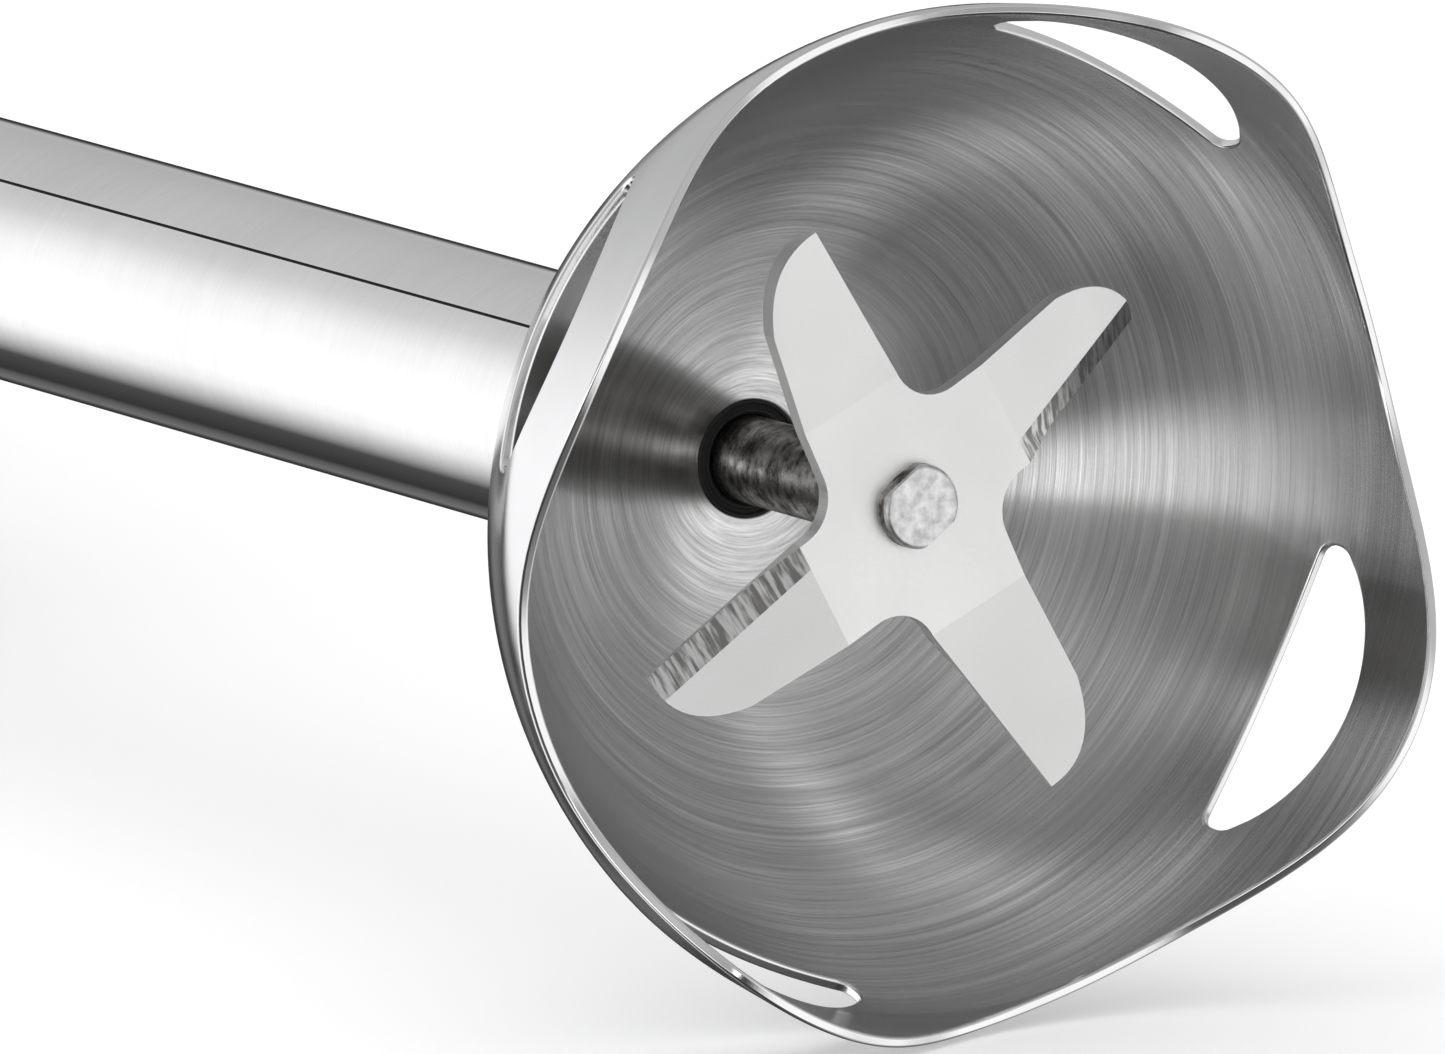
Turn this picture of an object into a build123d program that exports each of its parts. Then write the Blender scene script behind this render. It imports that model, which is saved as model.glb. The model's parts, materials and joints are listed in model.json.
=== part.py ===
from build123d import *
from math import atan2, asin, cos, degrees, hypot, radians, sin, tan
import os

# Hand-held immersion blender, in millimetres.
# Every part is drawn standing on its bell: Z runs up the drive shaft from the plane of the
# bell's lobe tips, and the buttons face -Y. The finished parts are then laid down on the
# flat back of the handle, so that the shaft runs along +Y and the buttons face up.

# ---- driving dimensions ---------------------------------------------------------------
axis_height = 35.5          # shaft axis above the surface that the blender lies on
overall_length = 399.0      # lobe tips to the end of the cord gland

# bell guard
rim_radius = 36.0           # outside, at the lobe tips
bell_wall = 0.8
flare = 7.1                 # half angle of the skirt
skirt_height = 7.5
shoulder_radius = 15.4
shoulder_end = 18.3         # where the shoulder arc meets the dome arc
dome_radius = 37.3
apex_hole = 4.1
rim_mean = 4.27             # the rim's mean height above the lobe tips
rim_waves = (4.11, 0.26, -0.10)
lobe_count = 4
lobe_turn = 28.1            # first lobe, from +X
window_half_width = 10.7
window_low, window_high = 6.4, 14.1
window_end_low, window_end_high = 11.0, 12.3
window_corner = 0.6

# leg tube
tube_radius = 9.0
tube_wall = 0.8
tube_top = 200.0
seam_turn = -130.6
seam_width = 0.25

# knife
knife_face = 13.3           # underside of the hub
knife_thick = 1.2
wing_reach = 22.3
wing_lead, wing_trail = 2.6, -5.5
wing_corner_start = 16.8
wing_bend_at = 8.9
wing_bend = 10.5
wing_turns = ((64.7, 1), (151.2, -1), (244.7, 1), (331.2, -1))
root_fillet = 3.2
bevel_width, bevel_depth = 1.8, 0.85

# spindle
shaft_radius = 3.0
shaft_end = 12.3
flat_half = 2.42            # half the width across the two flats that drive the knife
flat_turn = 54.5
flat_ease = 0.08            # how much smaller the flatted end is than the shaft
running_gap = 0.05
seal_radius = 4.04
seal_face = 34.8

# connection between leg and motor unit
collar_low, collar_top = 186.0, 213.4
collar_radius = 23.5
spigot_radius, spigot_wall, spigot_top = 17.0, 2.0, 228.0
lug_count, lug_half_angle, lug_height = 3, 10.0, 2.5
lug_low, lug_high = 223.0, 226.0
twist = 30.0
body_gap = 0.3
spline_teeth, spline_root, spline_tip, spline_width = 6, 4.6, 6.2, 2.2

# motor unit
housing_high = 385.0
housing_wall = 2.2
back = axis_height          # depth of the flat that the handle rests on
crown = 0.15                # how much further its rounded back would reach without the flat
# height, half width, front depth, back depth, corner radius
flare_sections = (
    (214.0, 23.5, 23.5, 23.5, 23.4),
    (227.0, 28.6, 28.6, 31.5, 25.0),
    (240.0, 31.0, 31.0, back + crown, 24.0),
)
grip_sections = (
    (240.0, 31.0, 31.0, back + crown, 24.0),
    (300.0, 30.5, 30.0, back + crown, 24.0),
    (350.0, 27.5, 25.5, back + crown, 22.0),
    (385.0, 28.5, 27.0, back + crown, 22.0),
)
cap_top = 391.0
cap_round = 3.5
dial_centre, dial_radius, dial_low = -5.0, 13.0, 391.4
dial_high, dial_ridges = 399.0, 24
gland_centre, gland_radius, gland_flange, cord_bore = 21.0, 5.0, 6.5, 3.5
grip_proud = 0.5
vent_width = 1.6
outlet_vents = [244.0 + 3.4 * i for i in range(5)]
inlet_vents = [290.0 + 3.4 * i for i in range(4)]
# screws that join the shells: their places across and up the handle, and where the heads seat
screw_places = ((-20.0, 234.2), (20.0, 234.2), (-19.0, 374.0), (19.0, 374.0))
screw_radius, screw_head, screw_seat = 1.2, 2.2, 25.0

# buttons: middle height, half width, half length
power_button_at = (327.0, 7.0, 9.0)
turbo_button_at = (350.0, 6.0, 7.0)
panel_low, panel_high, panel_half = 311.0, 364.0, 10.0
button_gap = 0.3
button_proud = 0.9
button_depth = 5.0
plate_front, plate_back = -12.0, -10.5

# motor
stack_low, stack_high = 260.0, 286.0
stator_radius, stator_bore = 24.3, 15.6
armature_radius = 15.1
motor_screw_at = 21.6
commutator_radius = 8.2
screw_posts = (90.0, 270.0)


# ---- shape helpers --------------------------------------------------------------------
def rod(radius, low, high, at=(0, 0)):
    return Pos(at[0], at[1], low) * extrude(Circle(radius), high - low)


def ring(inner, outer, low, high, at=(0, 0)):
    return Pos(at[0], at[1], low) * extrude(Circle(outer) - Circle(inner), high - low)


def block(x, y, z):
    """A box between two values on each axis."""
    size = (x[1] - x[0], y[1] - y[0], z[1] - z[0])
    return Pos((x[0] + x[1]) / 2, (y[0] + y[1]) / 2, (z[0] + z[1]) / 2) * Box(*size)


def sector(inner, outer, start, end, low, high):
    """Part of a ring between two angles in degrees."""
    far = outer * 2
    middle = radians((start + end) / 2)
    a, b = radians(start), radians(end)
    wedge = Polygon((0, 0), (far * cos(a), far * sin(a)), (far * cos(middle), far * sin(middle)),
                    (far * cos(b), far * sin(b)), align=None)
    return Pos(0, 0, low) * extrude((Circle(outer) - Circle(inner)) & wedge, high - low)


def around(shape, count, start=0.0):
    """Copies of a shape spaced evenly about the Z axis."""
    return [Rot(0, 0, start + 360 * i / count) * shape for i in range(count)]


def cross_rod(radius, x, z, low, high):
    """A rod along Y."""
    return Pos(x, low, z) * Rot(-90, 0, 0) * extrude(Circle(radius), high - low)


def coil_spring(radius, wire, length, turns):
    path = Helix(pitch=length / turns, height=length, radius=radius)
    section = Plane(origin=path @ 0, z_dir=path % 0) * Circle(wire / 2)
    return sweep(section, path=path, is_frenet=True)


# ---- leg ------------------------------------------------------------------------------
def bell_outline(offset):
    """The bell's generating line from the lobe tips to the apex, moved inwards by offset."""
    slope = radians(flare)
    turn = radians(shoulder_end)
    skirt_end = (rim_radius - skirt_height * tan(slope), skirt_height)
    centre_1 = (skirt_end[0] - shoulder_radius * cos(slope), skirt_end[1] - shoulder_radius * sin(slope))
    joint = (centre_1[0] + shoulder_radius * cos(turn), centre_1[1] + shoulder_radius * sin(turn))
    centre_2 = (joint[0] - dome_radius * cos(turn), joint[1] - dome_radius * sin(turn))
    r1, r2 = shoulder_radius - offset, dome_radius - offset
    apex = atan2((r2 ** 2 - (apex_hole - centre_2[0]) ** 2) ** 0.5, apex_hole - centre_2[0])

    def on_arc(centre, radius, angle):
        return (centre[0] + radius * cos(angle), centre[1] + radius * sin(angle))

    foot = (rim_radius - offset / cos(slope), 0)
    a, b = on_arc(centre_1, r1, slope), on_arc(centre_1, r1, turn)
    top = on_arc(centre_2, r2, apex)
    edges = [Line(foot, a), ThreePointArc(a, on_arc(centre_1, r1, (slope + turn) / 2), b),
             ThreePointArc(b, on_arc(centre_2, r2, (turn + apex) / 2), top)]
    return edges, foot, top


def filled_bell():
    """The space inside the bell's outer surface."""
    edges, foot, top = bell_outline(0)
    closing = [Line(top, (0, top[1])), Line((0, top[1]), (0, 0)), Line((0, 0), foot)]
    return revolve(Plane.XZ * make_face(edges + closing), Axis.Z)


def rim_height(angle):
    """Height of the wavy rim, at an angle in radians from a lobe."""
    return rim_mean - sum(a * cos(lobe_count * (k + 1) * angle) for k, a in enumerate(rim_waves))


def scallop_cutter():
    """Removes the skirt below the wave, between two lobes, looking along +X."""
    reach = rim_radius * sin(radians(180 / lobe_count))
    steps = 24
    half_turn = radians(180 / lobe_count)
    across = [reach * (2 * i / steps - 1) for i in range(steps + 1)]
    wave = [(t, rim_height(half_turn - abs(asin(t / rim_radius)))) for t in across]
    below = -2.0
    wave[0], wave[-1] = (-reach, 0), (reach, 0)
    edges = [Spline(*wave), Line(wave[-1], (reach, below)), Line((reach, below), (-reach, below)),
             Line((-reach, below), wave[0])]
    return extrude(Plane.YZ.offset(15) * make_face(edges), 30)


def window_cutter():
    w = window_half_width
    top = ThreePointArc((-w, window_end_high), (0, window_high), (w, window_end_high))
    low = ThreePointArc((w, window_end_low), (0, window_low), (-w, window_end_low))
    face = make_face([top, Line(top @ 1, low @ 0), low, Line(low @ 1, top @ 0)])
    face = fillet(face.vertices(), window_corner)
    return extrude(Plane.YZ.offset(20) * face, 25)


def bell_guard():
    outer, foot, top = bell_outline(0)
    inner, inner_foot, inner_top = bell_outline(bell_wall)
    ends = [Line(foot, inner_foot), Line(top, inner_top)]
    wall = revolve(Plane.XZ * make_face(outer + inner + ends), Axis.Z)
    wall -= around(scallop_cutter(), lobe_count, lobe_turn + 180 / lobe_count)
    wall -= around(window_cutter(), lobe_count, lobe_turn)
    return wall


def leg_tube():
    tube = ring(tube_radius - tube_wall, tube_radius, seal_face - 3, tube_top) - filled_bell()
    half = seam_width / 2
    groove = block((tube_radius - 0.15, tube_radius + 1), (-half, half), (38, collar_low + 2))
    return tube - Rot(0, 0, seam_turn) * groove


def shaft_seal():
    bore = shaft_radius + running_gap
    seal = ring(bore, seal_radius, seal_face, 36.6) + ring(bore, 6.0, 36.6, 39.5)
    return seal - ring(3.35, 3.65, seal_face - 1, seal_face + 0.3)


def lower_bush():
    return ring(shaft_radius + running_gap, 5.5, 40.0, 52.0)


def bearing_carrier():
    body = rod(tube_radius - tube_wall, 36.6, 56.0)
    return body - rod(6.0, 36.0, 40.0) - rod(5.5, 39.9, 52.0) - rod(4.0, 51.9, 57.0)


def middle_guide():
    guide = ring(shaft_radius + 0.08, tube_radius - tube_wall, 112.0, 124.0)
    return guide - around(block((5.6, 10), (-1.5, 1.5), (111, 125)), 3)


def upper_bearing():
    body = ring(shaft_radius + 0.03, 7.5, 204.0, 209.0)
    return body - ring(4.4, 6.4, 208.6, 210) - ring(4.4, 6.4, 203, 204.4)


def leg_collar():
    cone = [(11.5, collar_low), (15.0, collar_low + 7), (collar_radius, 207.5), (collar_radius, collar_top)]
    outline = Polyline((tube_radius, collar_low), *cone, (tube_radius, collar_top), close=True)
    body = revolve(Plane.XZ * make_face(outline), Axis.Z)
    body += ring(7.5, tube_radius, tube_top, collar_top) + ring(5.0, 8.0, tube_top, 204.0)
    body -= rod(12.0, 209.0, collar_top + 1)
    body += ring(spigot_radius - spigot_wall, spigot_radius, 211.0, spigot_top)
    lug_tip = spigot_radius + lug_height
    lug = sector(spigot_radius - 0.5, lug_tip, -lug_half_angle, lug_half_angle, lug_low, lug_high)
    body += around(lug, lug_count)
    return body - ring(22.9, collar_radius + 1, 209.4, 212.2)


def collar_ring():
    return ring(22.9, collar_radius + 0.3, 209.4, 212.2)


def collar_seal():
    return ring(19.2, 20.4, collar_top, collar_top + 0.8)


# ---- spindle --------------------------------------------------------------------------
def drive_flats(half, radius, low, high):
    """A round bar with two flats."""
    flats = extrude(Circle(radius) & Rectangle(2 * half, 4 * radius), high - low)
    return Rot(0, 0, flat_turn) * (Pos(0, 0, low) * flats)


def drive_shaft():
    shaft = rod(shaft_radius, knife_face + knife_thick, 224.0)
    shaft += drive_flats(flat_half, shaft_radius - flat_ease, shaft_end, knife_face + knife_thick)
    shaft -= ring(2.6, 4, 202.6, 203.4) + ring(2.6, 4, 209.6, 210.4)
    return shaft - Pos(-8, 0, 213.8) * Rot(0, 90, 0) * Cylinder(1.0, 40)


def wing():
    """One wing beyond the bend line, flat, pointing along +X, with its ground cutting edge."""
    start, tip = (wing_bend_at, wing_trail), (wing_reach, 0)
    corner = ThreePointArc((wing_corner_start, wing_trail), (20.9, -3.6), tip)
    edges = [Line(start, corner @ 0), corner, Line(tip, (wing_bend_at, wing_lead)),
             Line((wing_bend_at, wing_lead), start)]
    plate = extrude(make_face(edges), knife_thick)
    length = hypot(wing_reach - wing_bend_at, wing_lead)
    angle = degrees(atan2(wing_lead, wing_bend_at - wing_reach))
    ground = [(0, -bevel_depth), (bevel_width, 0), (0, 0.5), (-1, 0.5), (-1, -bevel_depth)]
    wedge = Polygon(*ground, align=None)
    cutter = extrude(Plane.YZ * wedge, length - 0.6)
    return plate - Pos(wing_reach, 0, knife_thick) * Rot(0, 0, angle) * cutter


def knife():
    middle = (wing_lead + wing_trail) / 2
    plank = Pos(wing_reach / 2, middle) * Rectangle(wing_reach, wing_lead - wing_trail)
    outline = Circle(5.0)
    for turn, side in wing_turns:
        outline += Rot(0, 0, turn) * plank
    inner_corners = [v for v in outline.vertices() if hypot(v.X, v.Y) < 8]
    hub = extrude(fillet(inner_corners, root_fillet), knife_thick)
    for turn, side in wing_turns:
        hub -= Rot(0, 0, turn) * block((wing_bend_at + 0.05, wing_reach + 1), (-7, 7), (-1, 3))
    blade = hub - drive_flats(flat_half, shaft_radius - flat_ease, -1, 3)
    middle = knife_thick / 2
    for turn, side in wing_turns:
        shape = wing() if side > 0 else mirror(wing(), Plane.XY.offset(middle))
        bend = Pos(wing_bend_at, 0, middle) * Rot(0, side * wing_bend, 0) * Pos(-wing_bend_at, 0, -middle)
        blade += Rot(0, 0, turn) * bend * shape
    return Pos(0, 0, knife_face) * blade


def spline_profile(gap):
    profile = Circle(spline_root + gap)
    for i in range(spline_teeth):
        tooth = Pos(spline_tip / 2, 0) * Rectangle(spline_tip + 2 * gap, spline_width + 2 * gap)
        profile += Rot(0, 0, 360 * i / spline_teeth) * tooth
    return profile


def leg_coupler():
    body = rod(6.8, 211.5, 216.0) + Pos(0, 0, 216) * extrude(spline_profile(0), 11.5)
    body -= rod(shaft_radius, 211, 224)
    return body - Pos(0, 0, 213.8) * Rot(0, 90, 0) * Cylinder(1.0, 40)


def coupler_pin():
    return Pos(0, 0, 213.8) * Rot(0, 90, 0) * Cylinder(1.0, 13.0)


def shaft_clips():
    clips = []
    for low in (202.6, 209.6):
        clips.append(ring(2.6, 4.2, low, low + 0.8) - block((0, 6), (-1.2, 1.2), (low - 1, low + 2)))
    return clips


# ---- motor unit shell -----------------------------------------------------------------
def section(spec, grow):
    height, half, front, rear, corner = spec
    outline = RectangleRounded(2 * (half + grow), front + rear + 2 * grow, corner + grow)
    return Pos(0, (rear - front) / 2, height) * outline


def above_flat(grow):
    """Everything on the buttons' side of the flat back."""
    return block((-60, 60), (-60, back + grow), (200, 400))


def housing_solid(grow):
    """The handle's outer form, moved out by grow, or in where grow is negative."""
    lower = loft([section(s, grow) for s in flare_sections])
    upper = loft([section(s, grow) for s in grip_sections])
    return (lower + upper) & above_flat(grow)


def panel_prism(low, high, half, corner, y_low=-60.0, y_high=-8.0):
    """A rounded rectangle on the front face, swept through it along Y."""
    outline = Pos(0, (low + high) / 2) * RectangleRounded(2 * half, high - low, corner)
    return extrude(Plane.XZ.offset(-y_low) * outline, y_low - y_high)


def button_prism(spec, gap):
    middle, half, length = spec
    return panel_prism(middle - length - gap, middle + length + gap, half + gap, half + gap - 0.5)


def vent_cutters(heights, reach):
    """Slots through both sides of the handle, at each of the heights."""
    half = vent_width / 2
    slots = []
    for low, high in ((-40, -20), (20, 40)):
        slots += [block((low, high), (-reach, reach), (z - half, z + half)) for z in heights]
    return slots


def grip_outline(side):
    """The area on one side of the handle that the soft grip fills."""
    outline = Pos(8, 347) * RectangleRounded(26, 60, 9)
    return extrude(Plane.YZ.offset(15 if side > 0 else -45) * outline, 30)


def make_housing(outer, inner):
    """The front and rear shells, with screw bosses, vents and recesses for grips and panel."""
    shell = outer - inner - vent_cutters(outlet_vents, 11) - vent_cutters(inlet_vents, 9)
    grip_top, grip_floor = housing_solid(grip_proud), housing_solid(-1.0)
    grips = []
    for side in (-1, 1):
        grip = (grip_top - grip_floor) & grip_outline(side)
        grips.append(grip)
        shell -= grip
    for x, z in screw_places:
        shell += cross_rod(3.0, x, z, -40, 40) & inner
        shell -= cross_rod(screw_radius + 0.2, x, z, -8, screw_seat)
        shell -= cross_rod(screw_head + 0.15, x, z, screw_seat, back + 2)
        shell -= cross_rod(screw_radius - 0.1, x, z, -16, -7)
    panel_area = panel_prism(panel_low, panel_high, panel_half, 8.0)
    panel = shell & panel_area
    shell -= panel_area
    for spec in (power_button_at, turbo_button_at):
        panel -= button_prism(spec, button_gap)
    front = shell & block((-60, 60), (-60, 0), (200, 400))
    rear = shell & block((-60, 60), (0, 60), (200, 400))
    return front, rear, panel, grips


def housing_screws():
    screws = []
    for x, z in screw_places:
        head = cross_rod(screw_head, x, z, screw_seat, screw_seat + 1.8)
        cross = block((-1.4, 1.4), (0.9, 3), (-0.3, 0.3)) + block((-0.3, 0.3), (0.9, 3), (-1.4, 1.4))
        screws.append(cross_rod(screw_radius, x, z, -6, screw_seat) + head - Pos(x, screw_seat, z) * cross)
    return screws


def lower_socket():
    """The bayonet socket that the leg's lugs turn in."""
    bore = spigot_radius + body_gap
    body = ring(bore, 21.0, 214.8, 231.0) + ring(11.0, bore + 0.5, 229.0, 231.0)
    reach = spigot_radius + lug_height + 0.4
    margin = 0.8
    half = lug_half_angle + margin
    low, high = lug_low - body_gap, lug_high + body_gap
    slot = sector(bore - 1, reach, -half, half + twist, low, high)
    entry = sector(bore - 1, reach, twist - half, twist + half, collar_top, high)
    return body - around(slot, lug_count) - around(entry, lug_count)


def end_cap():
    spec = grip_sections[-1]
    body = extrude(section(spec, 0), cap_top - housing_high)
    body = fillet(body.faces().sort_by(Axis.Z)[-1].edges(), cap_round) & above_flat(0)
    hollow = extrude(section(spec, -housing_wall), cap_top - housing_high - housing_wall)
    body -= hollow & above_flat(-housing_wall)
    lip_outer, lip_inner, lip_drop = -housing_wall - 0.4, -housing_wall - 1.9, 3.0
    lip_height = cap_top - housing_high - housing_wall + lip_drop + 0.1
    lip = extrude(section(spec, lip_outer), lip_height) - extrude(section(spec, lip_inner), lip_height)
    body += Pos(0, 0, -lip_drop) * lip
    return body - rod(3.4, 380, 400, (0, dial_centre)) - rod(gland_radius, 380, 400, (0, gland_centre))


def cord_gland():
    place = (0, gland_centre)
    body = rod(gland_radius, 384, overall_length, place)
    body += rod(gland_flange, 384.0, cap_top - housing_wall, place)
    grooves = [ring(gland_radius - 0.7, gland_radius + 1, z, z + 1.0, place) for z in (392.5, 394.7, 396.9)]
    return body - rod(cord_bore, 380, 400, place) - grooves


# ---- controls -------------------------------------------------------------------------
def button_cap(spec):
    return (housing_solid(button_proud) - housing_solid(-button_depth)) & button_prism(spec, 0)


def button(spec):
    cap = button_cap(spec)
    stem_start = cap.bounding_box().max.Y - 3.5
    return cap + cross_rod(2.0, 0, spec[0], stem_start, -6.0)


def plunger(spec):
    return cross_rod(1.0, 0, spec[0], -6.0, 1.0)


def button_spring(spec):
    """The spring between the button's rear face and its guide plate."""
    wire = 0.6
    rear_face = button_cap(spec).bounding_box().max.Y
    length = plate_front - rear_face - wire - 0.2
    return Pos(0, plate_front - wire / 2 - 0.1, spec[0]) * Rot(90, 0, 0) * coil_spring(3.4, wire, length, 4)


def button_plate():
    plate = block((-14, 14), (plate_front, plate_back), (315, 362))
    for spec in (power_button_at, turbo_button_at):
        plate -= cross_rod(2.4, 0, spec[0], -20, 0)
    for x in (-13, 13):
        plate += block((x - 1, x + 1), (plate_back - 0.1, 8.0), (322, 358))
    return plate


def micro_switch(spec):
    body = block((-3.2, 3.2), (-2, 8), (spec[0] - 9.9, spec[0] + 9.9))
    return body - cross_rod(1.3, 0, spec[0], -3, 4)


def circuit_board():
    return block((-14, 14), (8, 9.6), (316, 378)) - cross_rod(1.6, 10, 372, 0, 20)


def board_parts():
    capacitor = Pos(-8, 9.6, 352) * Rot(-90, 0, 0) * extrude(Circle(5.5), 13)
    film = block((2, 12), (9.6, 19), (340, 356))
    triac = block((-11, -1), (9.6, 14), (325, 339))
    choke = Pos(6, 9.6, 330) * Rot(-90, 0, 0) * extrude(Circle(5.5) - Circle(2), 8)
    return [capacitor, film, triac, choke]


def speed_dial():
    knob = rod(dial_radius, dial_low, dial_high)
    knob = fillet(knob.edges().sort_by(Axis.Z)[-1], 1.2)
    knob -= around(Pos(dial_radius + 0.35, 0, dial_low) * extrude(Circle(0.9), 20), dial_ridges)
    knob -= block((-0.7, 0.7), (-10.5, -4.5), (dial_high - 0.6, dial_high + 1))
    return Pos(0, dial_centre, 0) * knob


def dial_spindle():
    return rod(3.0, 378.4, dial_low, (0, dial_centre))


def dial_potentiometer():
    return rod(8.5, 370.0, 378.0, (0, dial_centre)) - block((-10, 10), (dial_centre + 6, 20), (369, 379))


# ---- motor ----------------------------------------------------------------------------
def screw_hole(radius, low, high):
    return [rod(radius, low, high, (0, motor_screw_at)), rod(radius, low, high, (0, -motor_screw_at))]


def posts(low, high):
    return [sector(19.4, stator_radius, a - 12, a + 12, low, high) for a in screw_posts]


def motor_stator():
    stack = ring(stator_bore, stator_radius, stack_low, stack_high)
    for a in (28, 130, 208, 310):
        stack -= sector(14, 20.4, a, a + 22, stack_low - 1, stack_high + 1)
    return stack - screw_hole(1.8, stack_low - 1, stack_high + 1)


def field_coils():
    coils = []
    for middle in (0, 180):
        coil = sector(16.4, 20.2, middle - 49, middle + 49, stack_high + 0.2, stack_high + 4)
        coil += sector(16.4, 20.2, middle - 49, middle + 49, stack_low - 4, stack_low - 0.2)
        for a in (middle - 49, middle + 29):
            coil += sector(16.4, 20.2, a, a + 20, stack_low - 1, stack_high + 1)
        coils.append(coil)
    return coils


def armature():
    core = ring(shaft_radius, armature_radius, stack_low, stack_high)
    return core - around(block((11, 17), (-0.8, 0.8), (stack_low - 1, stack_high + 1)), 12)


def armature_windings():
    return [ring(4.2, 13.0, 254.8, stack_low), ring(4.2, 13.0, stack_high, 291.5)]


def commutator():
    body = ring(shaft_radius, commutator_radius, 293.0, 305.0)
    return body - around(block((6.5, 10), (-0.2, 0.2), (292, 303.5)), 12)


def motor_fan():
    fan = ring(shaft_radius, 6.0, 247.5, 253.5) + ring(5.5, 18.9, 252.3, 253.5)
    return fan + around(block((5.8, 18.6), (-0.5, 0.5), (247.8, 252.5)), 9)


def motor_coupler():
    body = rod(8.6, 217.0, 236.5)
    body -= Pos(0, 0, 216) * extrude(spline_profile(body_gap), 13.5)
    return body - rod(shaft_radius, 231.0, 240)


def lower_bracket():
    plate = rod(stator_radius, 237.5, 239.5) + rod(12.0, 237.5, 246.0)
    plate -= rod(9.5, 239.0, 250) + rod(8.0, 230, 240)
    plate -= around(rod(3.0, 230, 245, (17.0, 0)), 8, 22.5)
    plate += posts(239.4, stack_low)
    return plate - screw_hole(1.8, 230, 270)


def upper_bracket():
    plate = rod(22.0, 307.5, 309.5) + rod(10.5, 307.5, 314.5)
    plate -= rod(8.0, 308.8, 320) + rod(6.0, 300, 310)
    plate -= around(rod(2.6, 300, 312, (15.5, 0)), 6, 30)
    plate += [sector(19.4, 24.0, a - 12, a + 12, stack_high, 309.5) for a in screw_posts]
    for side in (-1, 1):
        plate += block((side * 17 - 3, side * 17 + 3), (-4.2, 4.2), (303.5, 307.6))
    return plate - screw_hole(1.6, 280, 320)


def brush_holders():
    holders = []
    for side in (-1, 1):
        x = sorted((side * 9.6, side * 21.5))
        hollow = sorted((side * 8, side * 20.5))
        case = block(x, (-4.2, 4.2), (294.5, 303.5))
        holders.append(case - block(hollow, (-3.05, 3.05), (295.95, 302.05)))
    return holders


def carbon_brushes():
    return [block(sorted((side * 8.5, side * 15.5)), (-3, 3), (296, 302)) for side in (-1, 1)]


def brush_springs():
    spring = coil_spring(2.2, 0.5, 4.4, 4)
    return [Rot(0, 0, turn) * Pos(15.8, 0, 299) * Rot(0, 90, 0) * spring for turn in (0, 180)]


def upper_mount_ring():
    return ring(22.0, 24.8, 310.0, 314.0) + ring(10.5, 22.5, 310.0, 311.5)


def motor_screws():
    screws = []
    for y in (-motor_screw_at, motor_screw_at):
        screws.append(rod(1.6, 237.5, 309.5, (0, y)) + rod(2.6, 235.6, 237.5, (0, y)))
    return screws


# ---- all the parts --------------------------------------------------------------------
def all_parts():
    front, rear, panel, grips = make_housing(housing_solid(0), housing_solid(-housing_wall))
    parts = {
        "bell_guard": bell_guard(),
        "leg_tube": leg_tube(),
        "shaft_seal": shaft_seal(),
        "lower_bush": lower_bush(),
        "bearing_carrier": bearing_carrier(),
        "middle_guide": middle_guide(),
        "upper_bearing": upper_bearing(),
        "leg_collar": leg_collar(),
        "collar_ring": collar_ring(),
        "collar_seal": collar_seal(),
        "knife": knife(),
        "drive_shaft": drive_shaft(),
        "leg_coupler": leg_coupler(),
        "coupler_pin": coupler_pin(),
        "shaft_clips": shaft_clips(),
        "housing_front": front,
        "housing_rear": rear,
        "button_panel": panel,
        "grip_left": grips[0],
        "grip_right": grips[1],
        "housing_screws": housing_screws(),
        "lower_socket": lower_socket(),
        "end_cap": end_cap(),
        "cord_gland": cord_gland(),
        "button_plate": button_plate(),
        "circuit_board": circuit_board(),
        "board_parts": board_parts(),
        "speed_dial": speed_dial(),
        "dial_spindle": dial_spindle(),
        "dial_potentiometer": dial_potentiometer(),
        "motor_stator": motor_stator(),
        "field_coils": field_coils(),
        "armature": armature(),
        "armature_windings": armature_windings(),
        "commutator": commutator(),
        "motor_shaft": rod(shaft_radius, 231.0, 315.0),
        "motor_fan": motor_fan(),
        "motor_coupler": motor_coupler(),
        "lower_bracket": lower_bracket(),
        "upper_bracket": upper_bracket(),
        "lower_motor_bearing": ring(shaft_radius + 0.03, 9.5, 239.0, 245.0),
        "upper_motor_bearing": ring(shaft_radius + 0.03, 8.0, 308.8, 313.8),
        "lower_mount_ring": ring(stator_radius, 27.4, 238.0, 243.0),
        "upper_mount_ring": upper_mount_ring(),
        "brush_holders": brush_holders(),
        "carbon_brushes": carbon_brushes(),
        "brush_springs": brush_springs(),
        "motor_screws": motor_screws(),
    }
    for name, spec in (("power", power_button_at), ("turbo", turbo_button_at)):
        parts[name + "_button"] = button(spec)
        parts[name + "_plunger"] = plunger(spec)
        parts[name + "_spring"] = button_spring(spec)
        parts[name + "_switch"] = micro_switch(spec)
    return parts


def lay_down(shape):
    return Pos(0, -overall_length / 2, axis_height) * Rot(-90, 0, 0) * shape


os.makedirs("parts", exist_ok=True)
for node, shape in all_parts().items():
    solids = ShapeList(shape).solids() if isinstance(shape, list) else shape.solids()
    placed = Compound(children=[lay_down(s) for s in solids]) if len(solids) > 1 else lay_down(solids[0])
    export_step(placed, f"parts/{node}.step")
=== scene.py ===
import json
from math import acos, asin, atan2, cos, pi, radians, sin, sqrt, tan

import bmesh
import bpy
from mathutils import Matrix, Vector


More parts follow.
